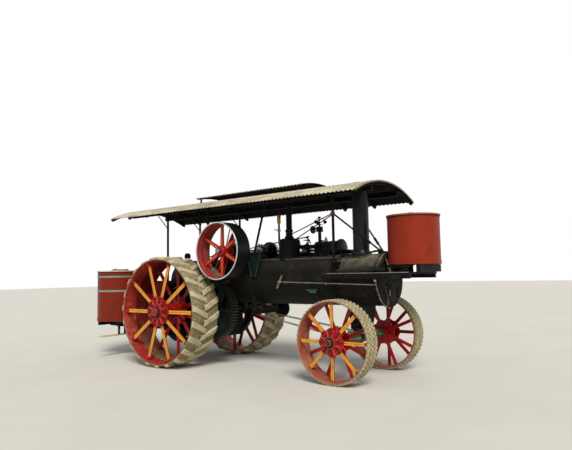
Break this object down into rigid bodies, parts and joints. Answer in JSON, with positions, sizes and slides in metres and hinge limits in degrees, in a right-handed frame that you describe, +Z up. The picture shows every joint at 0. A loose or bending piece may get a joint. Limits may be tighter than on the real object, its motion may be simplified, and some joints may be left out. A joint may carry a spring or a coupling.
{
  "type": "steam traction engine",
  "caption": "Steam traction engine with an arched canopy, side flywheel, spoked drive wheels on rubber lugs, and round water tanks front and rear.",
  "frame": {"origin": "on the ground, under the middle of the whole engine's length and width", "axes": "+X points forward along the boiler, +Y to the engine's left, +Z up"},
  "size_m": [7.5738, 2.716, 3.2158],
  "materials": {
    "boiler_black": "satin",
    "smokebox_grey": "matt",
    "frame_black": "satin",
    "tank_red": "satin, weathered",
    "wheel_red": "gloss",
    "flywheel_grey": "satin",
    "gear_green": "oily",
    "engine_black": "satin",
    "bright_steel": "worn",
    "axle_green": "satin",
    "roof_sheet": "weathered galvanised",
    "canopy_black": "matt",
    "tyre_rubber": "dusty",
    "rake_iron": "dusty",
    "footplate_wood": "worn"
  },
  "bodies": {
    "engine": {"boiler_barrel": "boiler_black", "smokebox": "smokebox_grey", "smokebox_front": "smokebox_grey", "stack": "boiler_black", "firebox": "boiler_black", "ashpan": "boiler_black", "steam_dome": "boiler_black", "cylinder_block": "engine_black", "engine_bed": "engine_black", "connecting_rod": "bright_steel", "crank_bearings": "engine_black", "gear_brackets": "gear_green", "axle_brackets": "bright_steel", "front_saddle": "engine_black", "steering_gear": "engine_black", "steering_chains": "rake_iron", "front_platform": "frame_black", "front_tank": "tank_red", "rear_frame": "frame_black", "footplate": "footplate_wood", "rear_tank": "tank_red", "coal_bunker": "tank_red", "roof_front": "roof_sheet", "roof_rear": "roof_sheet", "roof_sides": "roof_sheet", "monitor_roof": "roof_sheet", "roof_frame": "canopy_black", "posts": "canopy_black", "ash_rake": "rake_iron"},
    "crankshaft": {"crankshaft": "bright_steel", "flywheel": "flywheel_grey"},
    "idler": {"idler_gear": "gear_green"},
    "compensating_gear": {"compensating_gear": "gear_green"},
    "left_countershaft": {"left_countershaft": "bright_steel"},
    "right_pinion": {"right_pinion": "gear_green"},
    "rear_wheel_right": {"rear_wheel_right": "wheel_red", "rear_tyre_right": "tyre_rubber", "bull_gear_right": "gear_green"},
    "rear_wheel_left": {"rear_wheel_left": "wheel_red", "rear_tyre_left": "tyre_rubber", "bull_gear_left": "gear_green"},
    "front_axle": {"front_axle": "axle_green"},
    "front_wheel_right": {"front_wheel_right": "wheel_red", "front_tyre_right": "tyre_rubber"},
    "front_wheel_left": {"front_wheel_left": "wheel_red", "front_tyre_left": "tyre_rubber"},
    "firebox_door": {"firebox_door": "boiler_black"},
    "smokebox_door": {"smokebox_door": "smokebox_grey"},
    "front_tank_lid": {"front_tank_lid": "tank_red"},
    "rear_tank_lid": {"rear_tank_lid": "tank_red"}
  },
  "joints": [
    {"name": "rear_wheel_right_spin", "type": "hinge", "parent": "engine", "child": "rear_wheel_right", "pos_m": [-1.087, -1.005, 1.01], "axis": [0, 1, 0], "continuous": true},
    {"name": "rear_wheel_left_spin", "type": "hinge", "parent": "engine", "child": "rear_wheel_left", "pos_m": [-1.087, 1.005, 1.01], "axis": [0, 1, 0], "continuous": true},
    {"name": "steering", "type": "hinge", "parent": "engine", "child": "front_axle", "pos_m": [2.439, 0, 0.633], "axis": [0, 0, 1], "range_deg": [-25, 25], "deforming": ["steering_chains"]},
    {"name": "front_wheel_right_spin", "type": "hinge", "parent": "front_axle", "child": "front_wheel_right", "pos_m": [2.439, -0.8205, 0.633], "axis": [0, 1, 0], "continuous": true},
    {"name": "front_wheel_left_spin", "type": "hinge", "parent": "front_axle", "child": "front_wheel_left", "pos_m": [2.439, 0.8205, 0.633], "axis": [0, 1, 0], "continuous": true},
    {"name": "crankshaft_spin", "type": "hinge", "parent": "engine", "child": "crankshaft", "pos_m": [0.123, 0, 2.083], "axis": [0, 1, 0], "continuous": true},
    {"name": "idler_spin", "type": "hinge", "parent": "engine", "child": "idler", "pos_m": [-0.18047, -0.52, 1.78546], "axis": [0, 1, 0], "continuous": true},
    {"name": "compensating_gear_spin", "type": "hinge", "parent": "engine", "child": "compensating_gear", "pos_m": [-0.373, -0.52, 1.01], "axis": [0, 1, 0], "continuous": true},
    {"name": "left_countershaft_spin", "type": "hinge", "parent": "engine", "child": "left_countershaft", "pos_m": [-0.373, 0, 1.01], "axis": [0, 1, 0], "continuous": true},
    {"name": "right_pinion_spin", "type": "hinge", "parent": "engine", "child": "right_pinion", "pos_m": [-0.373, -0.673, 1.01], "axis": [0, 1, 0], "continuous": true},
    {"name": "firebox_door_hinge", "type": "hinge", "parent": "engine", "child": "firebox_door", "pos_m": [-1.726, 0.226, 1.15], "axis": [0, 0, -1], "range_deg": [0, 100]},
    {"name": "smokebox_door_hinge", "type": "hinge", "parent": "engine", "child": "smokebox_door", "pos_m": [2.988, 0.188, 1.335], "axis": [0, 0, 1], "range_deg": [0, 105]},
    {"name": "front_tank_lid_hinge", "type": "hinge", "parent": "engine", "child": "front_tank_lid", "pos_m": [3.379, 0.189, 2.542], "axis": [-1, 0, 0], "range_deg": [0, 100]},
    {"name": "rear_tank_lid_hinge", "type": "hinge", "parent": "engine", "child": "rear_tank_lid", "pos_m": [-3.267, -0.356, 1.813], "axis": [-1, 0, 0], "range_deg": [0, 100]}
  ],
  "couplings": [
    {"joint": "left_countershaft_spin", "follows": "rear_wheel_left_spin", "ratio": -5},
    {"joint": "right_pinion_spin", "follows": "rear_wheel_right_spin", "ratio": -5},
    {"joint": "idler_spin", "follows": "crankshaft_spin", "ratio": -0.47059},
    {"joint": "compensating_gear_spin", "follows": "crankshaft_spin", "ratio": 0.26667}
  ]
}
